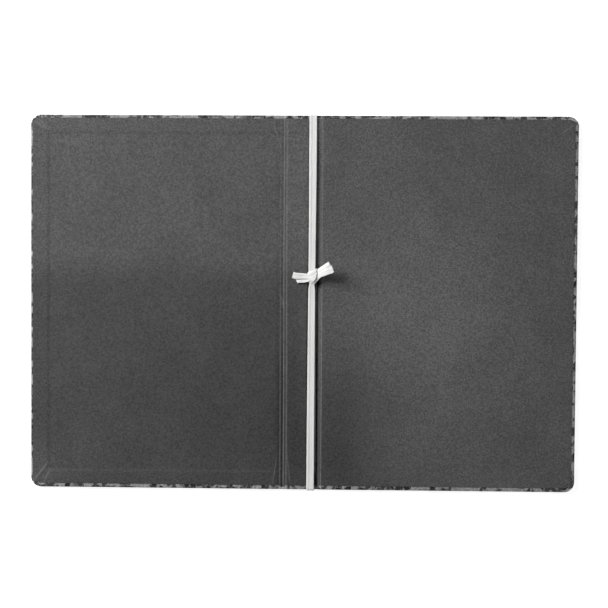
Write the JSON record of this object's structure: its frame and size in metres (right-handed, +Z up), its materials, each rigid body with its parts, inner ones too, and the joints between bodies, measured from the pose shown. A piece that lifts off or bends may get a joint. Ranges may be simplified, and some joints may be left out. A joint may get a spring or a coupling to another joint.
{
  "type": "sketchbook",
  "caption": "Hinged A5 casebound sketchbook cover, open and flat with its lined inside up, with marbled edges and a flat elastic tied round the spine to hold loose paper.",
  "frame": {"origin": "on the table under the middle of the spine, midway between head and foot: the bottom centre of the bounding box", "axes": "+X across the open case from the left cover to the right cover, +Y from the foot to the head, +Z up out of the inside of the case"},
  "size_m": [0.315, 0.2176, 0.0129],
  "materials": {
    "greyboard": "matte",
    "marbled_covering": "satin",
    "lining_paper": "matte",
    "elastic": "matte"
  },
  "bodies": {
    "spine": {"spine_board": "greyboard", "spine_covering": "marbled_covering", "spine_lining": "lining_paper", "left_hinge_covering": "marbled_covering", "left_hinge_lining": "lining_paper", "right_hinge_covering": "marbled_covering", "right_hinge_lining": "lining_paper", "elastic_upper_run": "elastic", "elastic_lower_run": "elastic", "elastic_head_wrap": "elastic", "elastic_foot_wrap": "elastic", "elastic_outer_run": "elastic", "elastic_knot": "elastic", "elastic_left_tail": "elastic", "elastic_right_tail": "elastic"},
    "left_cover": {"left_board": "greyboard", "left_covering": "marbled_covering", "left_lining": "lining_paper"},
    "right_cover": {"right_board": "greyboard", "right_covering": "marbled_covering", "right_lining": "lining_paper"}
  },
  "joints": [
    {"name": "left_cover_hinge", "type": "hinge", "parent": "spine", "child": "left_cover", "pos_m": [-0.01025, 0, 0.0018], "axis": [0, 1, 0], "range_deg": [-90, 90], "deforming": ["left_hinge_covering", "left_hinge_lining"]},
    {"name": "right_cover_hinge", "type": "hinge", "parent": "spine", "child": "right_cover", "pos_m": [0.01025, 0, 0.0018], "axis": [0, -1, 0], "range_deg": [-90, 90], "deforming": ["right_hinge_covering", "right_hinge_lining", "elastic_right_tail"]}
  ]
}
